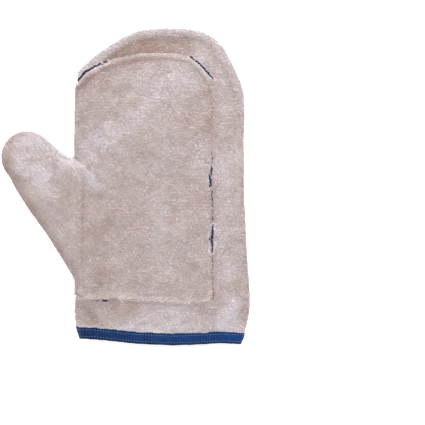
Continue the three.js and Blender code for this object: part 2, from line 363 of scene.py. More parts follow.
def closed_piece(name: str, corners: Sequence, faces: Sequence[tuple[int, ...]]) -> Piece:
    """A new closed piece whose faces are turned to point outwards.

    Args:
        name: name of the piece.
        corners: its vertices in millimetres.
        faces: the vertices of each face.

    Returns:
        The new piece.
    """
    mesh = bpy.data.meshes.new(name)
    mesh.from_pydata([Vector(corner) * MM for corner in corners], [], faces)
    piece = add_object(name, mesh)
    edit_all(piece, bpy.ops.mesh.normals_make_consistent, inside=False)
    return piece


def surface_tree(pieces: Sequence[Piece]) -> BVHTree:
    """All surfaces of some pieces, in millimetres, ready to be met by rays."""
    corners, faces, before = [], [], 0
    for piece in pieces:
        places = places_of(piece)
        corners.append(places)
        faces.append(triangles_of(piece) + before)
        before += len(places)
    return BVHTree.FromPolygons(np.concatenate(corners).tolist(), np.concatenate(faces).tolist())


def hand_over(piece: Piece, material: bpy.types.Material, node: str = "") -> None:
    """Dresses a finished piece and ties it to the frame.

    Args:
        piece: the piece.
        material: what it is dressed in.
        node: the CAD node that it replaces, if there is one.
    """
    piece.data.materials.append(material)
    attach(piece, "root")
    if node:
        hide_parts(node)
    LOG.info("%s: %d faces", piece.name, len(piece.data.polygons))


@dataclass
class Stamp:
    """A small shape that is modelled once and repeated many times.

    Attributes:
        corners: its vertices in millimetres.
        faces: the vertices of each face.
    """

    corners: Numbers
    faces: list[tuple[int, ...]]

    @classmethod
    def taken_from(cls, piece: Piece) -> "Stamp":
        """Reads the shape from a modelled piece, and removes the piece."""
        corners = places_of(piece)
        faces = [tuple(face.vertices) for face in piece.data.polygons]
        bpy.data.objects.remove(piece)
        return cls(corners, faces)

    def repeat(self, name: str, places: Numbers, frames: Numbers, sizes: Numbers) -> Piece:
        """One piece made of many copies of the shape.

        Args:
            name: name of the piece.
            places: where each copy's own origin goes.
            frames: each copy's three axes, one in each row.
            sizes: how large each copy is along its three axes.

        Returns:
            The new piece.
        """
        copies, corners = len(places), len(self.corners)
        turned = np.einsum("nk,ckj->cnj", self.corners, frames * sizes[:, :, None]) + places[:, None, :]
        counts = np.array([len(face) for face in self.faces])
        loops = np.concatenate([np.array(face) for face in self.faces])
        every = (loops[None, :] + corners * np.arange(copies)[:, None]).ravel()
        totals = np.tile(counts, copies)
        mesh = bpy.data.meshes.new(name)
        mesh.vertices.add(copies * corners)
        mesh.loops.add(len(every))
        mesh.polygons.add(len(totals))
        mesh.loops.foreach_set("vertex_index", every.astype(np.int32))
        mesh.polygons.foreach_set("loop_start", (np.cumsum(totals) - totals).astype(np.int32))
        piece = add_object(name, mesh)
        move_to(piece, turned.reshape(-1, 3))
        mesh.validate()
        smooth_all(piece)
        return piece


def frames_along(ways: Numbers, ups: Numbers) -> Numbers:
    """Axes for copies that lie along a direction on a surface.

    Args:
        ways: the direction that each copy's x axis follows as nearly as it can.
        ups: the direction of each copy's z axis.

    Returns:
        For each copy its x, y and z axis, one in each row.
    """
    ups = ups / np.linalg.norm(ups, axis=1, keepdims=True)
    flat = ways - (ways * ups).sum(1, keepdims=True) * ups
    flat /= np.maximum(np.linalg.norm(flat, axis=1, keepdims=True), 1e-6)
    return np.stack([flat, np.cross(ups, flat), ups], 1)


# Shader nodes


class Value:
    """A number that varies over a surface, with arithmetic that adds Math nodes."""

    def __init__(self, shader: "Shader", socket: bpy.types.NodeSocket) -> None:
        """Wraps one output of a node."""
        self.shader = shader
        self.socket = socket

    def maths(self, operation: str, first: "Value | float", second: "Value | float") -> "Value":
        """The result of a Math node on two numbers."""
        return self.shader.read(0, "ShaderNodeMath", {"operation": operation}, {0: first, 1: second})

    def __add__(self, other: "Value | float") -> "Value":
        """This plus another."""
        return self.maths("ADD", self, other)

    __radd__ = __add__

    def __sub__(self, other: "Value | float") -> "Value":
        """This less another."""
        return self.maths("SUBTRACT", self, other)

    def __rsub__(self, other: "Value | float") -> "Value":
        """Another less this."""
        return self.maths("SUBTRACT", other, self)

    def __mul__(self, other: "Value | float") -> "Value":
        """This times another."""
        return self.maths("MULTIPLY", self, other)

    __rmul__ = __mul__

    def sine(self) -> "Value":
        """Sine of this number."""
        return self.maths("SINE", self, 0.0)

    def held(self) -> "Value":
        """This, kept between 0 and 1."""
        return self.shader.read(0, "ShaderNodeClamp", {}, {"Value": self})


Sockets = dict[str | int, Value | Setting]


class Shader:
    """A material and the nodes that are added to it."""

    ROSY = (1.014, 0.986, 1.0, 1.0)
    OLIVE = (0.988, 1.014, 0.982, 1.0)

    def __init__(self, name: str) -> None:
        """Starts a material with no nodes."""
        self.material = bpy.data.materials.new(name)
        self.material.use_nodes = True
        self.tree = self.material.node_tree
        self.tree.nodes.clear()

    def add(self, kind: str, settings: dict[str, Setting], sockets: Sockets) -> bpy.types.Node:
        """Adds a node.

        Args:
            kind: the node's type.
            settings: its own settings, which are set first.
            sockets: a value or a link for each input.

        Returns:
            The node.
        """
        node = self.tree.nodes.new(kind)
        for name, value in settings.items():
            setattr(node, name, value)
        for key, value in sockets.items():
            if isinstance(value, Value):
                self.tree.links.new(value.socket, node.inputs[key])
            else:
                node.inputs[key].default_value = value
        return node

    def read(self, output: str | int, kind: str, settings: dict[str, Setting], sockets: Sockets) -> Value:
        """Adds a node and gives one of its outputs."""
        return Value(self, self.add(kind, settings, sockets).outputs[output])

    def place(self) -> Value:
        """The place on the piece, in metres."""
        return self.read("Object", "ShaderNodeTexCoord", {}, {})

    def stretched(self, scale: tuple[float, float, float], turn: float = 0.0) -> Value:
        """The place, turned about Z and scaled, so that a pattern is drawn out or packed."""
        sockets = {"Vector": self.place(), "Scale": scale, "Rotation": (0.0, 0.0, turn)}
        return self.read(0, "ShaderNodeMapping", {}, sockets)

    def attribute(self, name: str) -> Value:
        """A painted number."""
        return self.read("Fac", "ShaderNodeAttribute", {"attribute_name": name}, {})

    def noise(self, where: Value, size: float, detail: float = 2.0, roughness: float = 0.5) -> Value:
        """Soft noise between 0 and 1, whose lumps are `size` millimetres wide."""
        sockets = {"Vector": where, "Scale": 1 / (size * MM), "Detail": detail, "Roughness": roughness}
        return self.read(0, "ShaderNodeTexNoise", {}, sockets)

    def knots(self, where: Value, size: float) -> Value:
        """Round cells `size` millimetres wide, 0 in the middle of each."""
        sockets = {"Vector": where, "Scale": 1 / (size * MM), "Randomness": 0.9}
        return self.read("Distance", "ShaderNodeTexVoronoi", {"feature": "F1"}, sockets)

    def ribs(self, lean: tuple[float, float, float], pitch: float) -> Value:
        """Even ribs between 0 and 1, `pitch` millimetres from one to the next along each axis it leans to."""
        node = self.add("ShaderNodeSeparateXYZ", {}, {0: self.place()})
        x, y, z = (Value(self, socket) for socket in node.outputs)
        return ((x * lean[0] + y * lean[1] + z * lean[2]) * (TURN / (pitch * MM))).sine() * 0.5 + 0.5

    def blend(self, share: Value, first: "Value | tuple", second: "Value | tuple") -> Value:
        """A colour between two others."""
        return self.read(2, "ShaderNodeMix", {"data_type": "RGBA"}, {0: share, 6: first, 7: second})

    def tinted(self, colour: Value, tint: Value) -> Value:
        """A colour multiplied by another."""
        return self.read(0, "ShaderNodeVectorMath", {"operation": "MULTIPLY"}, {0: colour, 1: tint})

    def dimmed(self, colour: Value, by: Value) -> Value:
        """A colour made lighter or darker by a factor."""
        return self.read(0, "ShaderNodeVectorMath", {"operation": "SCALE"}, {0: colour, "Scale": by})

    def worn_and_lit(self, clean: tuple, soiled_and_shaded: tuple, bleached_and_lit: tuple) -> Value:
        """Cotton that follows the painted soil and shade and the painted bleach and highlights, with faint
        stains and pale patches of its own.
        """
        blotches = self.noise(self.place(), 25.0, 3.0, 0.55)
        patches = self.noise(self.stretched((0.8, 1.3, 1.0), 0.4), 9.0, 1.0, 0.4)
        mottle = self.attribute("mottle")
        stains = mottle * ((blotches - 0.5) * 1.5 + (patches - 0.5) * 0.5)
        soil_and_shade = (self.attribute("soil_and_shade") + 0.12 + stains).held()
        brightening = mottle * ((0.36 - patches) * 0.65 + (0.47 - blotches) * 0.6)
        bleach_and_highlight = (self.attribute("bleach_and_highlight") + brightening).held()
        tint = ((self.noise(self.place(), 7.0, 1.0, 0.5) - 0.5) * 3.0 + 0.5).held()
        cotton = self.blend(bleach_and_highlight, self.blend(soil_and_shade, clean, soiled_and_shaded), bleached_and_lit)
        return self.tinted(cotton, self.blend(tint, self.ROSY, self.OLIVE))

    def bumped(self, height: Value, depth: float, strength: float) -> Value:
        """Normals for a relief `depth` millimetres deep."""
        sockets = {"Height": height, "Distance": depth * MM, "Strength": strength}
        return self.read(0, "ShaderNodeBump", {}, sockets)

    def finish(self, sockets: Sockets) -> bpy.types.Material:
        """Closes the material with a Principled BSDF that has these values and links."""
        surface = self.add("ShaderNodeBsdfPrincipled", {}, sockets)
        output = self.add("ShaderNodeOutputMaterial", {}, {})
        self.tree.links.new(surface.outputs[0], output.inputs[0])
        return self.material


def colour(red: int, green: int, blue: int) -> tuple[float, float, float, float]:
    """A screen colour from 0 to 255 as the linear colour that nodes use."""
    linear = [((v / 255 + 0.055) / 1.055) ** 2.4 if v > 10 else v / 255 / 12.92 for v in (red, green, blue)]
    return (*linear, 1.0)


def matt(roughness: float, gloss: float, sheen: float = 0.0, sheen_roughness: float = 0.5) -> Sockets:
    """The values of a textile's surface that are the same all over it."""
    names = ("Roughness", "Specular IOR Level", "Sheen Weight", "Sheen Roughness")
    return dict(zip(names, (roughness, gloss, sheen, sheen_roughness)))


@dataclass(frozen=True)
class CottonFinish:
    """Undyed looped cotton, a little soiled and painted with shade in its hollows, bleached and painted with
    highlights on its crowns.

    Attributes:
        name: name of the material.
        clean: its usual colour.
        soiled_and_shaded: its colour in hollows, where soil and painted shade lie.
        bleached_and_lit: its colour where it is worn pale and where highlights are painted.
    """

    name: str
    clean: tuple = colour(200, 187, 187)
    soiled_and_shaded: tuple = colour(178, 153, 144)
    bleached_and_lit: tuple = colour(223, 215, 222)


@dataclass(frozen=True)
class LoopFinish(CottonFinish):
    """The yarn of the standing loops, which follows the soil, wear, painted shade and painted highlights of
    the cloth under it.
    """

    def material(self) -> bpy.types.Material:
        """Makes the material."""
        shader = Shader(self.name)
        shade = shader.worn_and_lit(self.clean, self.soiled_and_shaded, self.bleached_and_lit)
        tufts = shader.noise(shader.place(), 2.2, 1.0, 0.5)
        folds = shader.noise(shader.place(), 16.0, 1.0, 0.5)
        # The tone adds the tufts' painted light and shade and the ridges' painted highlight.
        shade = shader.dimmed(shade, 0.545 + shader.attribute("tone") * 0.24 + tufts * 0.22 + folds * 0.34)
        return shader.finish({"Base Color": shade} | matt(0.95, 0.1, 0.2, 0.6))


@dataclass(frozen=True)
class TerryFinish(CottonFinish):
    """The cloth under the loops, whose own fine loops are a relief.

    Attributes:
        grain: how far the fine loops are drawn out along x, y and z.
        turn: direction of that grain in plan.
        relief: depth of the fine loops in millimetres.
    """

    clean: tuple = colour(199, 185, 184)
    grain: tuple = (0.7, 1.25, 1.0)
    turn: float = 0.0
    relief: float = 0.9

    def material(self) -> bpy.types.Material:
        """Makes the material."""
        shader = Shader(self.name)
        grain = shader.stretched(self.grain, self.turn)
        loops = shader.knots(grain, 1.35)
        fibres = shader.noise(grain, 0.5, 3.0, 0.65)
        normal = shader.bumped((1 - loops) * 0.8 + fibres * 0.35, self.relief, 0.8)
        shade = shader.worn_and_lit(self.clean, self.soiled_and_shaded, self.bleached_and_lit)
        # Darker towards the rims of the fine loops: painted shade between them.
        shade = shader.dimmed(shade, 1.06 - loops * 0.2 + (fibres - 0.5) * 0.12)
        return shader.finish({"Base Color": shade, "Normal": normal} | matt(0.95, 0.15, 0.25))


@dataclass(frozen=True)
class TapeFinish:
    """Blue cotton tape in a fine twill."""

    name: str = "blue_cotton_tape"
    deep: tuple = colour(3, 35, 74)
    bright: tuple = colour(3, 50, 103)
    # edge: painted shade along both edges of the tape
    edge: tuple = colour(8, 22, 40)
    brightens_over: float = 160.0
    twill: float = 0.9

    def material(self) -> bpy.types.Material:
        """Makes the material, which gets brighter towards the sewn side."""
        shader = Shader(self.name)
        node = shader.add("ShaderNodeSeparateXYZ", {}, {0: shader.place()})
        x = Value(shader, node.outputs[0])
        ribs = shader.ribs((1.0, 0.8, 1.0), self.twill)
        slubs = shader.noise(shader.stretched((1.0, 1.6, 1.6)), 4.0, 3.0, 0.7)
        # Brighter towards +X.
        brightening = (x * (1 / (self.brightens_over * MM)) + 0.25 + (slubs - 0.5) * 2.6).held()
        shade = shader.blend(brightening, self.deep, self.bright)
        # Painted shade along the tape's edges.
        shade = shader.blend(shader.attribute("edge_shade"), shade, self.edge)
        shade = shader.dimmed(shade, 0.6 + ribs * 0.2 + slubs * 0.6)
        normal = shader.bumped(ribs + slubs * 1.5, 0.08, 0.7)
        return shader.finish({"Base Color": shade, "Normal": normal} | matt(0.72, 0.2, 0.05, 0.4))


@dataclass(frozen=True)
class ThreadFinish:
    """Twisted sewing thread.

    Attributes:
        name: name of the material.
        dark: colour between the strands, a painted shade.
        light: colour of the strands.
        twist: length of one turn of the strands in millimetres.
    """

    name: str
    dark: tuple
    light: tuple
    twist: float = 0.7

    def material(self) -> bpy.types.Material:
        """Makes the material."""
        shader = Shader(self.name)
        twist = shader.ribs((0.8, 1.0, 1.0), self.twist)
        colour_marks = shader.noise(shader.place(), 3.0, 2.0, 0.5)
        # The twist's hollows get the dark colour: painted shade between the strands.
        shade = shader.blend((twist * 0.6 + colour_marks * 0.5).held(), self.dark, self.light)
        return shader.finish({"Base Color": shade, "Normal": shader.bumped(twist, 0.1, 0.6)} | matt(0.6, 0.4))


@dataclass(frozen=True)
class FloorFinish:
    """A plain white table top."""

    name: str = "white_table"
    shade: tuple = (0.93, 0.93, 0.93, 1.0)
    glow: float = 0.5  # it is lit from below a little, which thins the shadows

    def material(self) -> bpy.types.Material:
        """Makes the material."""
        sockets = {"Base Color": self.shade, "Roughness": 0.9, "Specular IOR Level": 0.1}
        sockets |= {"Emission Color": self.shade, "Emission Strength": self.glow}
        return Shader(self.name).finish(sockets)


# Seam runs


class Side(Enum):
    """Which face of the mitten a seam shows on."""

    PALM = 1.0
    BACK = -1.0


@dataclass(frozen=True)
class SeamRun:
    """A stretch of navy seam thread that shows between the loops.

    Attributes:
        line: where it runs.
        start: where it begins to show, as a share of the line.
        end: where it stops.
        weight: how thick each strand is.
        gaps: share of its stitches that are lost in the pile.
        side: the face that it is on.
        rough: how far its stitches stray.
        strands: how many strands lie side by side.
    """

    line: PlanLine
    start: float
    end: float
    weight: float
    gaps: float
    side: Side = Side.PALM
    rough: float = 0.3
    strands: int = 1

    def width(self) -> float:
        """Width of all its strands together."""
        return THREAD * self.weight + STRAND_GAP * (self.strands - 1)


SEAM_RUNS = (
    SeamRun(TOP_LEFT, 0.0, 0.3, 0.95, 0.0, rough=0.06, strands=2),
    SeamRun(TOP_LEFT, 0.26, 0.6, 0.95, 0.0, rough=0.06, strands=3),
    SeamRun(TOP_LEFT, 0.56, 1.0, 1.25, 0.0, rough=0.08),
    SeamRun(TOP_RIGHT, 0.0, 1.0, 1.25, 0.0, rough=0.1),
    SeamRun(line((81.2, 36), (81.2, 24), (81.4, 17)), 0.0, 1.0, 0.65, 0.3),
    SeamRun(SIDE_BULGE, 0.0, 1.0, 1.35, 0.0, rough=0.25),
    SeamRun(line((81.0, -3), (82.2, -37)), 0.0, 1.0, 0.65, 0.25),
    SeamRun(SIDE_KNOT, 0.0, 0.2, 1.1, 0.0, rough=0.2),
    SeamRun(SIDE_KNOT, 0.15, 0.62, 1.1, 0.0, rough=0.25, strands=3),
    SeamRun(SIDE_KNOT, 0.58, 1.0, 1.0, 0.0, rough=0.2, strands=2),
    SeamRun(line((81.8, -62), (82.6, -106)), 0.0, 1.0, 0.5, 0.45, rough=0.25),
    SeamRun(line((-31, -107.6), (-21, -107.4)), 0.0, 1.0, 0.5, 0.45),
    SeamRun(line((-21, -107.4), (-17, -107.3)), 0.0, 1.0, 1.2, 0.0),
    SeamRun(RETURN_EDGE, 0.0, 0.25, 1.3, 0.0, Side.BACK),
    SeamRun(RETURN_EDGE, 0.25, 0.7, 0.8, 0.15, Side.BACK),
    SeamRun(RETURN_EDGE, 0.74, 1.0, 0.6, 0.35, Side.BACK),
    SeamRun(line((-24, -102.6), (-12, -102.4)), 0.0, 1.0, 0.8, 0.2, Side.BACK),
    SeamRun(line((-40, -103.4), (-36, -103.2)), 0.0, 1.0, 0.8, 0.1, Side.BACK),
)
WHOLE_RUNS = [run for run in SEAM_RUNS if run.width() > FULL_THREAD]


# Soil and painted shade, pale wear and painted sheen: the soft spots on the side that faces up, each with its
# x, y, radius and strength

SOIL_AND_SHADE_SPOTS = (
    (-27, 99, 20, 0.4), (-4, 19, 14, 0.25), (-31, -3, 13, 0.45), (-6, -15, 18, 0.35),
    (-14, -36, 18, 0.35), (-19, -53, 13, 0.3), (-22, -82, 18, 0.45), (-29, -96, 15, 0.4),
    (71, 60, 18, 0.45), (68, -12, 14, 0.4), (0, -110, 14, 0.3), (-40, -68, 24, 0.22),
    (70, -74, 15, 0.25), (30, 48, 13, 0.2), (80, -101, 20, 0.25), (88, -106, 12, 0.3),
    (-12, -112, 9, 0.35), (78, -136, 12, 0.5), (-32, -118, 14, 0.1), (-62, -10, 14, 0.3),
    (-109, 16, 14, 0.3),
)
BLEACH_AND_SHEEN_SPOTS = (
    (43, 102, 23, 0.55), (26, 90, 20, 0.5), (59, 90, 16, 0.4), (4, 90, 15, 0.3),
    (69, 121, 12, 0.5), (12, 61, 22, 0.5), (-22, 44, 25, 0.6), (-34, 26, 15, 0.35),
    (68, 26, 17, 0.5), (-12, 48, 18, 0.3), (84, 24, 10, 0.3), (40, -38, 24, 0.42),
    (37, -21, 12, 0.25), (6, -60, 14, 0.3), (-57, 19, 12, 0.25), (90, 11, 18, 0.35),
    (-87, 30, 36, 0.3), (-93, 37, 12, 0.35), (-71, 12, 14, 0.35), (101, -122, 12, 0.45),
    (98, -78, 17, 0.35), (98, -30, 20, 0.2), (46, -123, 26, 0.6), (16, -127, 18, 0.45),
)
SPOT_SOFTNESS = 0.7  # width of a spot's fading, as a share of its radius


def spotted(places: Numbers, spots: Sequence[tuple[float, float, float, float]]) -> Numbers:
    """What some soft spots add at each place."""
    total = np.zeros(len(places))
    for x, y, radius, strength in spots:
        total += strength * hump(np.hypot(places[:, 0] - x, places[:, 1] - y), radius * SPOT_SOFTNESS)
    return total


def colour_marks(places: Numbers, ups: Numbers) -> dict[str, Numbers]:
    """How much soil and painted shade and how much pale wear and painted highlight the cloth gets, and how
    much it is mottled.

    Args:
        places: x, y and z of each place.
        ups: outward direction of the cloth there.

    Returns:
        Three values from 0 to 1 for each place, by the names that the finishes read.
    """
    x, y = places[:, 0], places[:, 1]
    rim, hem = SEWN_RIM.distance(places), above_hem(places) - TAPE_WIDTH
    patch, round_tip = on_patch(places), rising(y, 55, 35)
    edge = THUMB_EDGE.distance(places)
    inwards = np.where(THUMB_EDGE.height_at(x) > y, edge, -edge) + 0.8
    arc = rising(y, 70, 40) * falling(x, 70, 30) * rising(x, -50, 45)
    strip = rising(x, PATCH_RIGHT + 1, 5) * (1 - arc) * (1 - 0.6 * rising(x, 92, 14))
    # Soil and painted shade in the hollow band between the rolled rim and the patch's top edge, and painted
    # shade along the rim on the far side below the fingertips.
    soil_and_shade = 0.7 * rising(rim, 5.5, 4) * (1 - patch) * arc + 0.15 * hump(rim, 6.0) * (1 - round_tip)
    # Painted shadow in the groove under the patch's top ridge.
    soil_and_shade += PATCH_TOP.stroke(places, 0.6, 2.4, 6.6) * patch * falling(x, 66, 24)
    # Painted shade on the palm beside the step of the side seam.
    soil_and_shade += PATCH_SIDE.stroke(places, 0.3, 5.0) * (x < PATCH_RIGHT) * rising(y, 35, 15)
    # Painted shade along the thumb's lower edge, which slopes away from the light, and a darker line along
    # the thumb's seam.
    soil_and_shade += THUMB_UNDERSIDE.stroke(places, 0.8, 8.0) + THUMB_SEAM.stroke(places, 0.3, 1.6)
    # Painted shade in the dent by the cuff, a little soil on the strip beyond the patch, and spots of soil
    # and painted shade.
    soil_and_shade += CUFF_DENT.stroke(places, 0.5, 6.0) + 0.15 * strip + spotted(places, SOIL_AND_SHADE_SPOTS)
    # Painted highlight on the rolled rim round the fingertips.
    bleach_and_highlight = 0.85 * hump(rim, 3.9) * round_tip * (1 - 0.5 * rising(x, 72, 22))
    # Painted highlight along the thumb's raised upper edge, and a painted shine down the thumb.
    bleach_and_highlight += 0.82 * rising(inwards, 0, 1.6) * hump(edge, 10.0) + THUMB_SHINE.stroke(places, 0.55, 9.0)
    # Pale wear and a painted highlight on the cuff cloth just above the tape.
    bleach_and_highlight += 0.75 * hump(hem, 6.5, 1.0) * rising(x, -25, 25) + 0.6 * hump(hem, 2.2)
    # Painted highlight on the swell by the cuff, the strip's paler tone, and spots of pale wear and painted
    # sheen.
    bleach_and_highlight += CUFF_SWELL.stroke(places, 0.6, 6.0) + 0.3 * strip + spotted(places, BLEACH_AND_SHEEN_SPOTS)
    bleach_and_highlight += TOP_LEFT.stroke(places, -0.7, 4.0)
    for run in WHOLE_RUNS:
        if run.side is Side.PALM:
            bleach_and_highlight += run.line.stroke(places, 0.35, 1.3, 2.3)
    facing_up = ups[:, 2] > BARE_BELOW
    return {
        "soil_and_shade": np.clip(soil_and_shade, 0, 1) * facing_up,
        "bleach_and_highlight": np.clip(bleach_and_highlight, 0, 1) * facing_up,
        "mottle": 1 - 0.5 * strip,
    }


# The sewn layers of terry


def hem_lifted(places: Numbers) -> Numbers:
    """Places with the hem drawn up a little in its middle, as it hangs on the cuff."""
    lift = HEM_LIFT.height_at(places[:, 0])
    moved = places.copy()
    moved[:, 1] += lift * falling(above_hem(places) + lift, 34, 22)
    return moved


def outside_of(piece: Piece, frame: BVHTree) -> Numbers:
    """Whether each vertex lies on an outer face of the mitten, with open air right above or below it."""
    starts = places_of(piece) + normals_of(piece) * 1.5
    reach = 80
    found = np.zeros(len(starts), bool)
    for number, start in enumerate(starts.tolist()):
        above = frame.ray_cast(Vector(start), Vector((0, 0, 1)), reach)[0]
        found[number] = above is None or frame.ray_cast(Vector(start), Vector((0, 0, -1)), reach)[0] is None
    return found


@dataclass
class Cloth:
    """Terry cloth without its standing loops, evened out from CAD nodes and then sculpted.

    Attributes:
        name: name of the piece.
        nodes: the CAD nodes whose form it has.
        facet: size of its faces in millimetres.
        smoothing: how often its faces are evened out.
        pile: how far the cloth lies under the tips of its loops.
        edge_growth: what the sides get back, which the smoothing takes from them.
    """

    name: str
    nodes: tuple[str, ...]
    facet: float
    smoothing: int
    pile: float = 1.2
    edge_growth: float = -0.6

    def shape(self, frame: BVHTree) -> Piece:
        """Builds the cloth.

        Args:
            frame: all CAD nodes.

        Returns:
            The undressed piece.
        """
        parts = [copy_of_node(node, f"{self.name}_{node}") for node in self.nodes]
        piece = parts[0]
        if len(parts) > 1:
            for part in parts:
                move_to(part, places_of(part) + normals_of(part) * CLOSES_GAP)
            make_active(piece)
            for part in parts:
                part.select_set(True)
            bpy.ops.object.join()
        piece.name = self.name
        evened_out(piece, self.facet, self.smoothing)
        normals, outside = normals_of(piece), outside_of(piece, frame)
        places = hem_lifted(places_of(piece))
        sign = np.where(outside, 1.0, -1.0)
        lift = sign * self.relief(places, normals[:, 2] * sign)
        lift -= outside * (self.pile - self.edge_growth * (1 - np.abs(normals[:, 2])))
        move_above(piece, places + normals * (lift * self.freedom(places))[:, None], FLOOR_CLEARANCE)
        return piece

    def relief(self, places: Numbers, facing: Numbers) -> Numbers:
        """The folds, ridges and hollows of the cloth.

        Args:
            places: x, y and z of each place.
            facing: 1 on the side that faces up, -1 on the side that faces down.

        Returns:
            How far each place moves outwards.
        """
        raise NotImplementedError

    def freedom(self, places: Numbers) -> Numbers:
        """Share of the relief that each place takes."""
        return np.ones(len(places))


def dress(piece: Piece, finish: TerryFinish, node: str = "") -> Piece:
    """Colours a cloth and lets it stand for a CAD node.

    Args:
        piece: the cloth.
        finish: what it is dressed in.
        node: the CAD node that it replaces, if there is one.

    Returns:
        The same piece.
    """
    make_active(piece)
    bpy.ops.object.shade_smooth_by_angle(angle=math.radians(60))
    for attribute, values in colour_marks(places_of(piece), normals_of(piece)).items():
        paint(piece, attribute, values)
    piece.data.materials.clear()
    piece.data.polygons.foreach_set("material_index", np.zeros(len(piece.data.polygons), np.int32))
    hand_over(piece, finish.material(), node)
    return piece


@dataclass
class ShellCloth(Cloth):
    """The bag that the hand goes in: sewn round the fingertips and down the far side, open at the cuff."""

    name: str = "shell_cloth"
    nodes: tuple[str, ...] = ("hand_shell",)
    facet: float = 2.0
    smoothing: int = 9
    edge_growth: float = 1.4

    def relief(self, places: Numbers, facing: Numbers) -> Numbers:
        """Rolled rim, hollow band, cuff dents and gathers on top, the side seam below."""
        x, y = places[:, 0], places[:, 1]
        up, down = rising(facing, 0.1, 0.5), rising(-facing, 0.1, 0.5)
        rim, hem = SEWN_RIM.distance(places), above_hem(places) - TAPE_WIDTH
        gathers = np.sin(x / 2.6 + 1.5 * np.sin(x / 9.0)) * np.exp(-np.abs(hem) / 7.0)
        lift = 0.7 * hump(rim, 3.0, 5.0) - 1.5 * hump(rim, 4.2, 12.0) * (0.3 + 0.7 * rising(y, 40, 60))
        lift += PATCH_TOP.stroke(places, -0.5, 2.2)
        lift += PATCH_BOTTOM.stroke(places, 2.2, 7.0) * eased(PATCH_BOTTOM.height_at(x) - y + 0.5)
        lift += CUFF_DENT.stroke(places, -1.6, 4.0)
        lift += CUFF_SWELL.stroke(places, 0.9, 7.0)
        lift += 0.35 * gathers - 0.5 * hump(hem, 2.5)
        corner = hump(np.hypot(x - 88, y - 134), 30.0) * falling(np.abs(facing), 0.8, 0.5)
        lift = corner + up * lift - down * hump(rim, 1.3, 10.0)
        return lift + 0.45 * waves(places, 34, 11) * (0.4 + 0.6 * up)

    def freedom(self, places: Numbers) -> Numbers:
        """All of it, but none under the tape, which holds the cloth tight."""
        return eased((above_hem(places) - TAPE_WIDTH + 3) / 3)


@dataclass
class PalmCloth(Cloth):
    """The second layer of the palm and the thumb, shaped as one cloth."""

    name: str = "palm_cloth"
    nodes: tuple[str, ...] = ("palm_patch", "thumb")
    facet: float = 1.45
    smoothing: int = 17

    def relief(self, places: Numbers, facing: Numbers) -> Numbers:
        """Turned edges, the puckers of the side seam, the thumb's seam and its fold over the palm."""
        x, y = places[:, 0], places[:, 1]
        up = rising(facing, 0.1, 0.5)
        top, along = PATCH_TOP.measure(places)
        side, down_side = PATCH_SIDE.measure(places)
        fold, run = THUMB_FOLD.measure(places)
        past = falling(run, THUMB_FOLD.length(), 14)
        puckers = np.sin(down_side / 1.7 + 1.2 * np.sin(down_side / 11))
        sewn = rising(down_side, 35, 15)
        lift = 0.5 * hump(top, 2.0, 2.2) - 1.1 * hump(top, 2.2, 6.6)
        lift += -1.2 * sewn * hump(side, 1.3) + 0.45 * sewn * puckers * hump(side, 2.6, 2.6)
        lift += 0.25 * np.sin(along / 2.4) * hump(top, 2.5, 3.0)
        lift += THUMB_SEAM.stroke(places, -0.8, 1.8) + 1.4 * past * hump(fold, 3.8)
        lift -= 0.8 * past * hump(THUMB_DIP.distance(places), 2.0)
        growth = falling(x, -45, 8) * rising(y, -45, 30) - 2.0 * hump(top, 3.5)
        lift = up * lift + growth * falling(np.abs(facing), 0.8, 0.5)
        return lift + 0.5 * waves(places, 38, 5) * (0.4 + 0.6 * up)


@dataclass
class RolledEdge:
    """The lower edge of the patch, which is turned under and stands up as a low ridge.

    Attributes:
        beside: the cloths on either side of it.
        line: where it runs.
        half: half its width.
        rise: how high it stands over the cloth beside it.
        sunk: how far it sinks into that cloth.
        aside: how far beside it that cloth's height is read.
        taper: how far from its ends it begins to flatten.
        step: distance from ring to ring.
        sides: corners of each ring.
    """

    beside: Sequence[Piece]
    line: PlanLine = ROLLED_LINE
    half: float = 2.4
    rise: float = 1.6
    sunk: float = 0.3
    aside: float = 0.5
    taper: float = 7.0
    step: float = 1.5
    sides: int = 12

    def build(self) -> Piece:
        """Makes the ridge as a closed roll that lies half in the cloth."""
        plan = self.line.stepped(self.step)
        surface = surface_tree(self.beside)
        across = ways_across(plan)[1]
        beside = self.half + self.aside
        above, below = (self.heights(surface, plan + across * side * beside) for side in (1, -1))
        count = self.sides
        turn = np.arange(count) * TURN / count
        from_end = (np.minimum(np.arange(len(plan)), np.arange(len(plan))[::-1]) + 0.5) * self.step
        size = (0.25 + 0.75 * eased(from_end / self.taper))[:, None]
        rings = np.empty((len(plan), count, 3))
        reach = self.half * size * np.cos(turn)
        rings[:, :, :2] = plan[:, None, :] + across[:, None, :] * reach[:, :, None]
        level = (above + below)[:, None] / 2 + (above - below)[:, None] / 2 * np.cos(turn)
        rings[:, :, 2] = level + self.rise * size * np.sin(turn)
        corners = rings.reshape(-1, 3)
        faces = [
            (ring + k, ring + (k + 1) % count, ring + count + (k + 1) % count, ring + count + k)
            for ring in range(0, len(corners) - count, count)
            for k in range(count)
        ]
        faces += [tuple(range(count)), tuple(range(len(corners) - count, len(corners)))]
        return closed_piece("rolled_edge", corners, faces)

    def heights(self, surface: BVHTree, plan: Numbers) -> Numbers:
        """Height of the cloth at each place, less what the ridge sinks into it."""
        down = Vector((0, 0, -1))
        return np.array([surface.ray_cast(Vector((x, y, FAR)), down)[0].z for x, y in plan]) - self.sunk


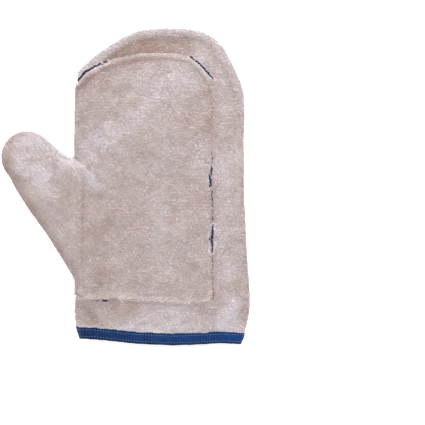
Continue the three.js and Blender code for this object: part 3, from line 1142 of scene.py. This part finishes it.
@dataclass(frozen=True)
class SeamCut:
    """A cutting shape round the thumb, one wall of which stands in the thumb's seam.

    Attributes:
        seam: the seam on the palm, in plan.
        around: the rest of the shape's plan.
        level: height at which the wall goes through the seam.
        slant: how far the wall leans to the palm for each millimetre of height.
        bottom: lower end of the shape.
        top: upper end.
    """

    seam: tuple = ((-39.4, -120), (-39.4, -104), (THUMB_SEAM_X, -70), (THUMB_SEAM_X, 19))
    around: tuple = ((-50.2, 25.5), (-52, 60), (-150, 60), (-150, -120))
    level: float = 25.0
    slant: float = 0.25
    bottom: float = -10.0
    top: float = 60.0

    def build(self) -> Piece:
        """Makes the shape."""
        corners = []
        for z in (self.bottom, self.top):
            lean = (z - self.level) * self.slant
            corners += [(x + lean, y, z) for x, y in self.seam] + [(x, y, z) for x, y in self.around]
        count = len(corners) // 2
        ring = range(count)
        faces = [tuple(ring), tuple(k + count for k in ring)]
        faces += [(k, (k + 1) % count, (k + 1) % count + count, k + count) for k in ring]
        return closed_piece("seam_cut", corners, faces)

    def part(self, cloth: Piece, name: str) -> tuple[Piece, Piece]:
        """Cuts a cloth in two along the seam.

        Args:
            cloth: the cloth, which keeps what lies outside the shape.
            name: name of the piece inside the shape.

        Returns:
            The piece outside the shape and the piece inside it.
        """
        inner = add_object(name, cloth.data.copy())
        cutter = self.build()
        for piece, operation in ((inner, "INTERSECT"), (cloth, "DIFFERENCE")):
            apply_modifier(piece, "BOOLEAN", operation=operation, object=cutter, solver="MANIFOLD")
        bpy.data.objects.remove(cutter)
        return cloth, inner


# The standing loops


def spaced_out(places: Numbers, least: float) -> list[int]:
    """Picks places that keep a least distance from each other.

    Args:
        places: x, y and z of each place, in the order in which they are tried.
        least: the least distance.

    Returns:
        The numbers of the places that are kept.
    """
    cells = np.floor(places / least).astype(int).tolist()
    rows = places.tolist()
    steps = [(i, j, k) for i in (-1, 0, 1) for j in (-1, 0, 1) for k in (-1, 0, 1)]
    taken: dict[tuple[int, int, int], list[list[float]]] = {}
    kept = []
    for number, ((i, j, k), (x, y, z)) in enumerate(zip(cells, rows)):
        near = (taken.get((i + a, j + b, k + c), ()) for a, b, c in steps)
        if any((p - x) ** 2 + (q - y) ** 2 + (r - z) ** 2 < least**2 for found in near for p, q, r in found):
            continue
        taken.setdefault((i, j, k), []).append([x, y, z])
        kept.append(number)
    return kept


def terry_loop(radius: float = 0.84, yarn: float = 0.46) -> Stamp:
    """One loop that stands on its two feet: half a ring of yarn, 1.3 mm high above the cloth."""
    deselect_all()
    bpy.ops.mesh.primitive_torus_add(
        major_segments=6,
        minor_segments=3,
        major_radius=radius * MM,
        minor_radius=yarn * MM,
        rotation=(math.pi / 2, 0, 0),
    )
    ring = bpy.context.object
    bpy.ops.object.transform_apply(rotation=True)
    cut = {"plane_co": (0, 0, 0), "plane_no": (0, 0, 1), "use_fill": True, "clear_inner": True}
    edit_all(ring, bpy.ops.mesh.bisect, **cut)
    return Stamp.taken_from(ring)


@dataclass
class TerryPile:
    """The loops that stand on a layer of cloth wherever it shows.

    Attributes:
        cloth: the cloth that they stand on.
        slot: the record's material slot of that cloth; it is not used.
        name: name of the pieces, which get a number each.
        seed: chooses their places.
        finish: what the loops are dressed in.
        row: direction of the rows in plan.
        spacing: least distance from loop to loop.
        row_pitch: distance from row to row.
        order: how far the loops are drawn into their rows.
        lowest_facing: how far the cloth may face down where it still has loops.
        in_mouth: how deep in the mouth of the cuff there are loops.
        tuft: length and breadth of the bundles that the loops stand in.
        contrast: how much their shade varies.
        most: how many loops one piece may have.
        room: how far they stay from a thread that is seen whole.
        sight: how far a loop has to see past the mitten to count as open.
    """

    cloth: Piece
    slot: str
    name: str
    seed: int
    finish: LoopFinish = LoopFinish("terry_loops")
    row: tuple[float, float] = (1.0, 0.0)
    spacing: float = 0.98
    row_pitch: float = 3.6
    order: float = 0.07
    lowest_facing: float = -0.45
    in_mouth: float = 0.0
    tuft: tuple[float, float] = (3.2, 2.8)
    contrast: float = 1.0
    most: int = 9000
    room: float = 0.7
    sight: float = 150.0

    def build(self, around: BVHTree, loop: Stamp) -> None:
        """Grows the loops.

        Args:
            around: every layer of cloth and the tape.
            loop: the loop that is repeated.
        """
        rng = np.random.default_rng(self.seed)
        places, ups = self.scattered(rng)
        shown = self.showing(places, ups, around)
        places, ups = places[shown], ups[shown]
        kept = spaced_out(places, self.spacing)
        places, ups = self.in_rows(places[kept], ups[kept]), ups[kept]
        order = np.argsort(places[:, 1])
        parts = math.ceil(len(order) / self.most)
        for number, part in enumerate(np.array_split(order, parts), 1):
            self.grow(f"{self.name}_{number}", places[part], ups[part], loop, rng)

    def grow(self, name: str, places: Numbers, ups: Numbers, loop: Stamp, rng: np.random.Generator) -> None:
        """Makes one piece of loops, each turned, leaning and sized a little differently."""
        count = len(places)
        row = np.array([*self.row, 0.0])
        ways = row + self.across() * rng.normal(0, 1.1, (count, 1)) + rng.normal(0, 0.15, (count, 3))
        lean = ups + rng.normal(0, 0.3, (count, 3))
        sizes = np.repeat(rng.uniform(0.9, 1.2, (count, 1)), 3, axis=1)
        sizes[:, 2] *= rng.uniform(0.84, 1.06, count)
        piece = loop.repeat(name, places, frames_along(ways, lean), sizes)
        move_above(piece, places_of(piece), 0.05)
        tone = rng.uniform(0.45, 0.55, count) + self.contrast * self.tufts(places, rng)
        # Painted highlight on the tops of the ridges along the patch's edges.
        tone += on_ridge(places) * (ups[:, 2] > 0)
        for attribute, values in {**colour_marks(places, ups), "tone": tone}.items():
            paint(piece, attribute, np.repeat(values, len(loop.corners)))
        hand_over(piece, self.finish.material())

    def across(self) -> Numbers:
        """The direction from row to row."""
        return np.array([-self.row[1], self.row[0], 0.0])

    def tufts(self, places: Numbers, rng: np.random.Generator) -> Numbers:
        """Shade of each loop, from -1 to 1: they stand in short bundles of their own tones, in uneven rows,
        with painted highlights in their middles and painted shade at their edges.
        """
        (length, breadth), (x, y) = self.tuft, self.row
        along = places[:, 0] * x + places[:, 1] * y
        beside = places[:, 1] * x - places[:, 0] * y
        rows = (beside + 1.3 * waves(places, 16, 13)) / breadth + rng.normal(0, 0.08, len(places))
        columns = (along + 1.3 * waves(places, 19, 14)) / length + np.floor(rows) * 0.37
        columns += rng.normal(0, 0.08, len(places))
        shades = np.random.default_rng(31).uniform(-1, 1, (101, 103))
        own = shades[np.floor(rows).astype(int) % 101, np.floor(columns).astype(int) % 103]
        # Painted highlight in each bundle's middle and painted shade at its edges.
        middle = (1 - np.cos(TURN * rows)) * (1 - np.cos(TURN * columns)) / 4
        return 0.4 * own + 1.5 * (middle - 0.25)

    def scattered(self, rng: np.random.Generator) -> tuple[Numbers, Numbers]:
        """Random places all over the cloth, and the outward direction at each."""
        tries = 2.4
        corners, normals, triangles = places_of(self.cloth), normals_of(self.cloth), triangles_of(self.cloth)
        a, b, c = (corners[triangles[:, i]] for i in range(3))
        area = np.linalg.norm(np.cross(b - a, c - a), axis=1) / 2
        wanted = int(area.sum() * tries / self.spacing**2)
        picked = rng.choice(len(area), wanted, p=area / area.sum())
        u, v = rng.uniform(size=(2, wanted, 1))
        over = (u + v > 1).ravel()
        u[over], v[over] = 1 - u[over], 1 - v[over]
        places = a[picked] * (1 - u - v) + b[picked] * u + c[picked] * v
        ups = normals[triangles[picked]].mean(1)
        return places, ups / np.linalg.norm(ups, axis=1, keepdims=True)

    def showing(self, places: Numbers, ups: Numbers, around: BVHTree) -> Numbers:
        """Whether each place is open to the outside and clear of whole threads, or just inside the mouth."""
        hem = above_hem(places)
        inside = (hem > TAPE_WIDTH) & (hem < self.in_mouth)
        shown = (ups[:, 2] > self.lowest_facing) & (hem > TAPE_WIDTH - 1.0)
        for run in WHOLE_RUNS:
            apart = run.line.distance(places)
            shown &= (apart > 0.5 * run.width() + self.room) | (ups[:, 2] * run.side.value < 0)
        for number in np.flatnonzero(shown & ~inside):
            up = Vector(ups[number])
            start = Vector(places[number]) + up * 0.25
            steeper = (up + Vector((0, 0, 1 if up.z > -0.2 else -1))).normalized()
            shown[number] = any(around.ray_cast(start, way, self.sight)[0] is None for way in (up, steeper))
        return shown | inside

    def in_rows(self, places: Numbers, ups: Numbers) -> Numbers:
        """The places, drawn a little way into straight rows."""
        across = self.across()
        off = places @ across
        share = self.order * (1 + waves(places, 60, 9))
        shift = (np.round(off / self.row_pitch) * self.row_pitch - off) * share
        flat = across - (ups @ across)[:, None] * ups
        return places + flat * shift[:, None]


# Binding and threads


@dataclass
class Stitches:
    """A run of short stitches.

    Attributes:
        name: name of the piece.
        finish: what the thread is dressed in.
        length: length of one stitch.
        width: thickness of the thread.
    """

    name: str
    finish: ThreadFinish
    length: float
    width: float

    def stitch(self) -> Stamp:
        """One stitch, a millimetre long and wide: a short thread whose ends go into the cloth."""
        deselect_all()
        ball = {"segments": 6, "ring_count": 5, "radius": 0.5 * MM, "rotation": (0, math.pi / 2, 0)}
        bpy.ops.mesh.primitive_uv_sphere_add(**ball)
        bpy.ops.object.transform_apply(rotation=True)
        return Stamp.taken_from(bpy.context.object)

    def sew(self, places: Numbers, ways: Numbers, ups: Numbers, sizes: Numbers, slot: str) -> None:
        """Puts a stitch at each place.

        Args:
            places: middle of each stitch.
            ways: direction of each stitch.
            ups: outward direction of the cloth there.
            sizes: length and width of each stitch, as shares of the usual ones.
            slot: the record's material slot of what the stitches hold; it is not used.
        """
        width = sizes[:, 1] * self.width
        scale = np.stack([sizes[:, 0] * self.length, width, width], 1)
        piece = self.stitch().repeat(self.name, places, frames_along(ways, ups), scale)
        hand_over(piece, self.finish.material())


@dataclass
class CuffBinding:
    """The blue tape that is folded round the hem and stitched down twice.

    Attributes:
        facet: size of its faces.
        rows: distance of each row of stitches from the hem.
        pitch: distance from stitch to stitch.
        ends: x of the turns at both ends of the cuff.
        middle: height of the middle of the cuff's mouth.
        end_middle: the same at both ends.
        finish: what it is dressed in.
    """

    facet: float = 0.9
    rows: tuple[float, float] = (2.6, 9.0)
    pitch: float = 2.7
    ends: tuple[float, float] = (-38.0, 104.0)
    middle: float = 9.0
    end_middle: float = 7.5
    finish: TapeFinish = TapeFinish()

    def build(self) -> Piece:
        """Shapes the tape: puffed between its stitches and pulled in at them."""
        tape = copy_of_node("cuff_binding", "hem_tape")
        evened_out(tape, self.facet, 4)
        places, normals = hem_lifted(places_of(tape)), normals_of(tape)
        rise = above_hem(places)
        steps = places[:, 0] * (TURN / self.pitch)
        lift = 0.12 * waves(places, 9, 21)
        for row in self.rows:
            lift -= (0.2 + 0.06 * np.cos(steps)) * hump(rise, 0.9, row)
        move_above(tape, places + normals * lift[:, None], 0.02)
        smooth_all(tape)
        # Painted shade along both edges of the tape, where it turns over the hem and dips under the pile.
        paint(tape, "edge_shade", 0.8 * hump(rise, 1.5, 0.3) + 0.5 * hump(rise, 1.2, TAPE_WIDTH))
        hand_over(tape, self.finish.material(), "cuff_binding")
        return tape

    def sew(self, tape: Piece) -> None:
        """Stitches the tape down, outside and in the mouth."""
        tree = surface_tree([tape])
        found = [self.round_cuff(tree, rise, inside) for rise in self.rows for inside in (False, True)]
        places, ways, ups = (np.concatenate(part) for part in zip(*found))
        rng = np.random.default_rng(8)
        sizes = np.stack([rng.uniform(0.9, 1.1, len(places)), rng.uniform(0.9, 1.15, len(places))], 1)
        thread = ThreadFinish("pale_tape_thread", colour(66, 92, 130), colour(122, 143, 172))
        Stitches("tape_stitches", thread, 1.35, 0.55).sew(places, ways, ups, sizes, "blue_tape")

    def round_cuff(self, tree: BVHTree, rise: float, inside: bool) -> tuple[Numbers, Numbers, Numbers]:
        """A line round the cuff on the face of the tape.

        Args:
            tree: the tape.
            rise: height of the line over the hem.
            inside: whether it runs in the mouth.

        Returns:
            The middle, direction and outward direction of each stitch on it.
        """
        left, right = self.ends
        across = np.linspace(left, right, 240)
        turn = np.linspace(math.pi / 2, -math.pi / 2, 60)[1:-1]
        level, end = np.full(len(across), math.pi / 2), np.ones(len(turn))
        fans = [(across, level, self.middle), (right * end, turn, self.end_middle)]
        fans += [(across[::-1], -level, self.middle), (left * end, -turn + math.pi, self.end_middle)]
        hits, outs = [], []
        for xs, turns, height in fans:
            for x, angle in zip(xs, turns):
                start = Vector((x, float(HEM.height_at(x)) + rise, height))
                way = Vector((math.cos(angle), 0, math.sin(angle)))
                ray = (start, way) if inside else (start + way * FAR, -way)
                hit, normal = tree.ray_cast(*ray, FAR)[:2]
                if hit is not None:
                    hits.append(hit)
                    outs.append(normal)
        found = (np.array(hits), np.array(outs))
        reach = np.concatenate([[0], np.cumsum(np.linalg.norm(np.diff(found[0], axis=0), axis=1))])
        at = np.arange(self.pitch / 2, reach[-1], self.pitch)
        places, ups = (np.stack([np.interp(at, reach, rows[:, i]) for i in range(3)], 1) for rows in found)
        return places, np.gradient(places, axis=0), ups


@dataclass
class SeamThread:
    """The navy thread that sews the patch down."""

    step: float = 1.35
    over: float = 0.5  # how far the middle of a stitch lies over the cloth, before its own thickness
    slack: float = 0.15  # how far a stitch may sink into a dip

    def build(self, around: BVHTree) -> None:
        """Lays the stitches on the cloth that they hold."""
        rng = np.random.default_rng(17)
        rows = [self.stitches_of(run, around, rng) for run in SEAM_RUNS]
        places, ways, ups, sizes = (np.concatenate(part) for part in zip(*rows))
        thread = ThreadFinish("navy_seam_thread", colour(20, 15, 34), colour(36, 38, 84))
        Stitches("seam_thread", thread, 2.6, THREAD).sew(places, ways, ups, sizes, "terry_palm")

    def stitches_of(self, run: SeamRun, around: BVHTree, rng: np.random.Generator) -> tuple[Numbers, ...]:
        """Middle, direction, outward direction and size of each stitch of one run."""
        stepped = run.line.stepped(self.step)
        ways, across = ways_across(stepped)
        share = (np.arange(len(stepped)) + 0.5) / len(stepped)
        places, forward, ups = [], [], []
        for strand in range(run.strands):
            kept = (share >= run.start) & (share <= run.end) & (rng.uniform(size=len(stepped)) >= run.gaps)
            offset = (strand - (run.strands - 1) / 2) * STRAND_GAP
            plan = stepped[kept] + across[kept] * offset + rng.normal(0, run.rough, (kept.sum(), 2))
            found = []
            for (x, y), way in zip(plan, ways[kept]):
                start = Vector((x, y, FAR * run.side.value))
                hit, normal = around.ray_cast(start, Vector((0, 0, -run.side.value)))[:2]
                if hit is not None:
                    found.append(hit + normal * (self.over + 0.45 * run.weight))
                    forward.append((*way, 0.0))
                    ups.append(normal)
            places.append(self.pulled_tight(np.array(found), run.side.value))
        count = len(forward)
        ways = np.array(forward) + rng.normal(0, run.rough, (count, 3))
        sizes = np.stack([rng.uniform(0.9, 1.2, count), run.weight * rng.uniform(0.85, 1.15, count)], 1)
        return np.concatenate(places), ways, np.array(ups), sizes

    def pulled_tight(self, places: Numbers, side: float) -> Numbers:
        """The stitches of a strand, drawn straight over the dips between its high places."""
        out = places[:, 2] * side
        level = np.convolve(np.pad(out, 3, mode="edge"), np.ones(7) / 7, mode="valid")
        places[:, 2] = np.maximum(out - self.slack, level) * side
        return places


# Light, floor and camera


@dataclass
class Studio:
    """A white table under soft light, seen from straight above."""

    lens: float = 120.0
    film: float = 36.0
    subject_height: float = 12.0
    sky_strength: float = 0.72

    def build(self) -> None:
        """Makes the floor, the lamps, the sky and the camera."""
        self.floor()
        self.lamp("high_window", (300, 950, 1500), 1200, 30.0)
        self.lamp("over_camera", (-300, -200, 1900), 1600, 7.0)
        self.sky()
        self.camera()
        bpy.context.scene.view_settings.view_transform = "Standard"

    def floor(self) -> None:
        """A white table top that runs out of sight."""
        deselect_all()
        bpy.ops.mesh.primitive_plane_add(size=12.0, location=(0, 0, 0))
        table = bpy.context.object
        table.name = "table_top"
        table.data.materials.append(FloorFinish().material())

    def lamp(self, name: str, place: tuple[float, float, float], side: float, power: float) -> None:
        """A square soft lamp that looks at the mitten."""
        light = bpy.data.lights.new(name, "AREA")
        light.energy = power
        light.size = side * MM
        lamp = add_object(name, light)
        lamp.location = Vector(place) * MM
        lamp.rotation_euler = (-lamp.location).to_track_quat("-Z", "Y").to_euler()

    def sky(self) -> None:
        """An even white sky."""
        world = bpy.data.worlds.new("white_sky")
        world.use_nodes = True
        background = world.node_tree.nodes["Background"]
        background.inputs["Color"].default_value = (1.0, 1.0, 1.0, 1.0)
        background.inputs["Strength"].default_value = self.sky_strength
        bpy.context.scene.world = world

    def camera(self) -> None:
        """Looks straight down, with the mitten where the photograph has it."""
        middle = IMAGE_SIDE / 2
        across = (middle - ORIGIN_PIXEL[0]) * PIXEL
        along = (ORIGIN_PIXEL[1] - middle) * PIXEL
        distance = IMAGE_SIDE * PIXEL * self.lens / self.film
        camera = bpy.data.cameras.new("camera")
        camera.lens = self.lens
        camera.sensor_width = self.film
        camera.clip_end = 20.0
        seen_from = add_object("camera", camera)
        seen_from.location = Vector((across, along, distance + self.subject_height)) * MM
        bpy.context.scene.camera = seen_from


def main() -> None:
    """Builds the mitten piece by piece."""
    logging.basicConfig(level=logging.INFO, format="%(name)s: %(message)s")
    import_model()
    Studio().build()
    nodes = ("hand_shell", "palm_patch", "thumb", "cuff_binding")
    frame = surface_tree([bpy.data.objects[node] for node in nodes])
    thumb_turn = math.atan2(THUMB_ROW[1], THUMB_ROW[0])
    shell = dress(ShellCloth().shape(frame), TerryFinish("terry_shell_cloth"), "hand_shell")
    palm, thumb = SeamCut().part(PalmCloth().shape(frame), "thumb_cloth")
    dress(palm, TerryFinish("terry_palm_cloth"), "palm_patch")
    dress(thumb, TerryFinish("terry_thumb_cloth", turn=thumb_turn), "thumb")
    edge = dress(RolledEdge([palm, shell]).build(), TerryFinish("terry_edge_cloth"))
    binding = CuffBinding()
    tape = binding.build()
    binding.sew(tape)
    around = surface_tree([shell, palm, thumb, edge, tape])
    SeamThread().build(around)
    thumb_rows = {"row": THUMB_ROW, "order": 0.16, "contrast": 0.7}
    piles = (
        TerryPile(shell, "terry_shell", "shell_loops", 1, in_mouth=30),
        TerryPile(palm, "terry_palm", "palm_loops", 2),
        TerryPile(thumb, "terry_thumb", "thumb_loops", 3, **thumb_rows),
        TerryPile(edge, "terry_palm", "edge_loops", 4),
    )
    loop = terry_loop()
    for pile in piles:
        pile.build(around, loop)


if __name__ == "__main__":
    main()
